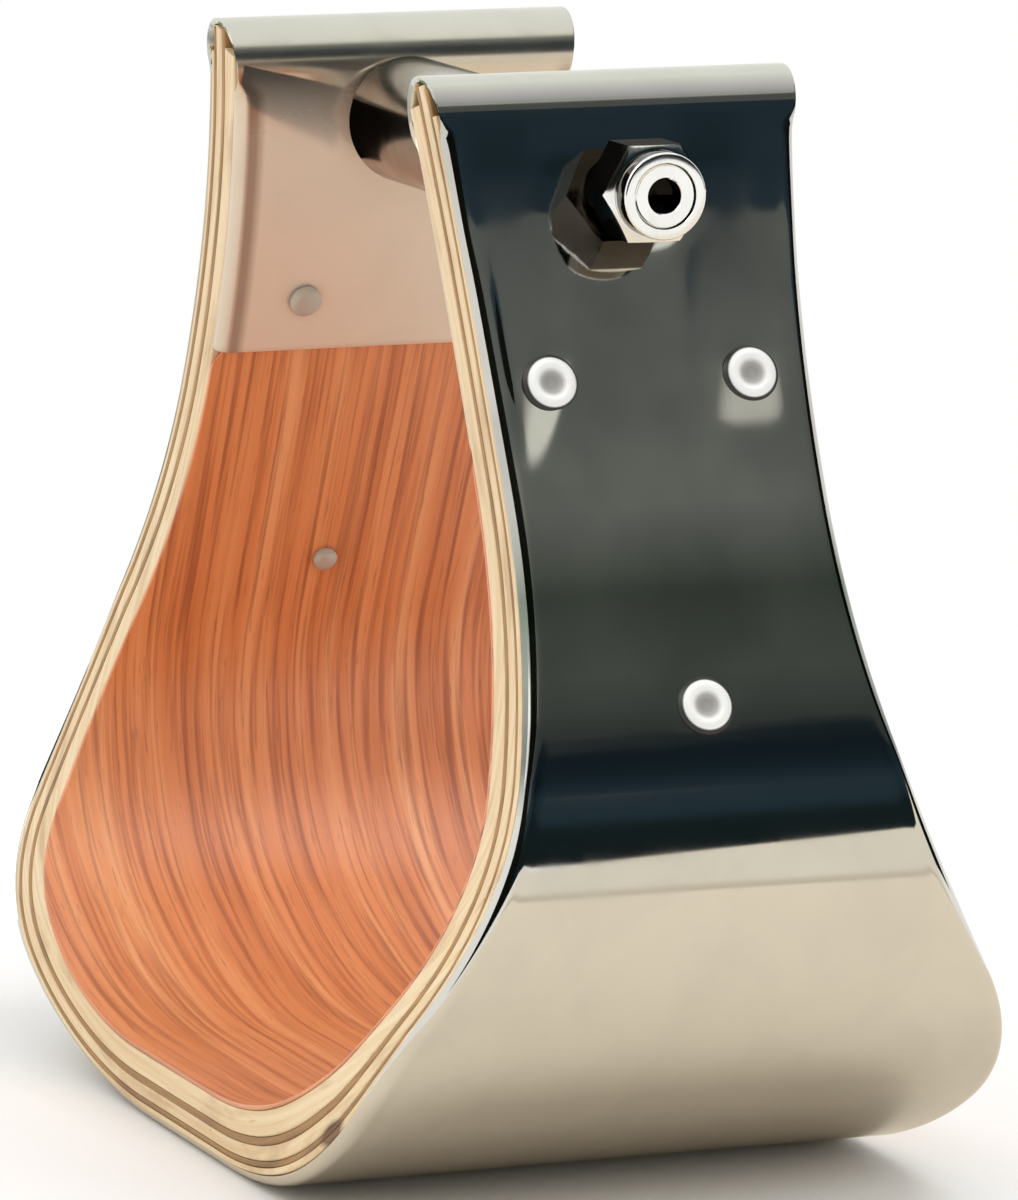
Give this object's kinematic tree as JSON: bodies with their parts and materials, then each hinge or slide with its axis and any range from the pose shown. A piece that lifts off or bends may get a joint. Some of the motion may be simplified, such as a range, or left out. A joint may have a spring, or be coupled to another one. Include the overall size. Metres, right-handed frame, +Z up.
{
  "type": "western stirrup",
  "caption": "Bell-shaped riding stirrup of bent laminated wood bound in polished sheet steel, with a roller on a cross bolt between its necks.",
  "frame": {"origin": "centre of the flat underside of the tread, on the surface the stirrup stands on", "axes": "+X along the cross bolt towards the lock nut, +Y the way the boot goes through, +Z up from the tread to the necks"},
  "size_m": [0.1852, 0.104, 0.17],
  "materials": {
    "polished_sheet": "stainless sheet polished to a mirror",
    "pale_ply": "sawn and sanded edge, clear varnish",
    "dark_cross_ply": "dark cross ply and glue line, clear varnish",
    "red_veneer": "straight-grained reddish veneer, satin varnish",
    "rivet_steel": "bright domed rivet steel",
    "bolt_steel": "bright plated steel",
    "nylon": "natural nylon",
    "roller_steel": "plain dark steel sleeve, worn bright by the leather"
  },
  "bodies": {
    "bow": {"steel_cover": "polished_sheet", "outer_ply": "pale_ply", "outer_cross_ply": "dark_cross_ply", "middle_ply": "pale_ply", "inner_cross_ply": "dark_cross_ply", "inner_ply": "pale_ply", "face_veneer": "red_veneer", "rivet_right_upper_front": "rivet_steel", "rivet_right_upper_back": "rivet_steel", "rivet_right_lower": "rivet_steel", "rivet_left_upper_front": "rivet_steel", "rivet_left_upper_back": "rivet_steel", "rivet_left_lower": "rivet_steel"},
    "bolt": {"cross_bolt": "bolt_steel"},
    "nut": {"lock_nut": "bolt_steel", "lock_nut_insert": "nylon"},
    "roller": {"strap_roller": "roller_steel"}
  },
  "joints": [
    {"name": "bolt_turn", "type": "hinge", "parent": "bow", "child": "bolt", "pos_m": [0, 0, 0.1538], "axis": [-1, 0, 0], "range_deg": [0, 2160]},
    {"name": "nut_travel", "type": "slide", "parent": "bow", "child": "nut", "axis": [1, 0, 0], "range_m": [0, 0.00953]},
    {"name": "roller_spin", "type": "hinge", "parent": "bolt", "child": "roller", "pos_m": [0, 0, 0.1538], "axis": [1, 0, 0], "continuous": true}
  ],
  "couplings": [
    {"joint": "nut_travel", "follows": "bolt_turn", "m_per_rad": 0.00025266}
  ]
}
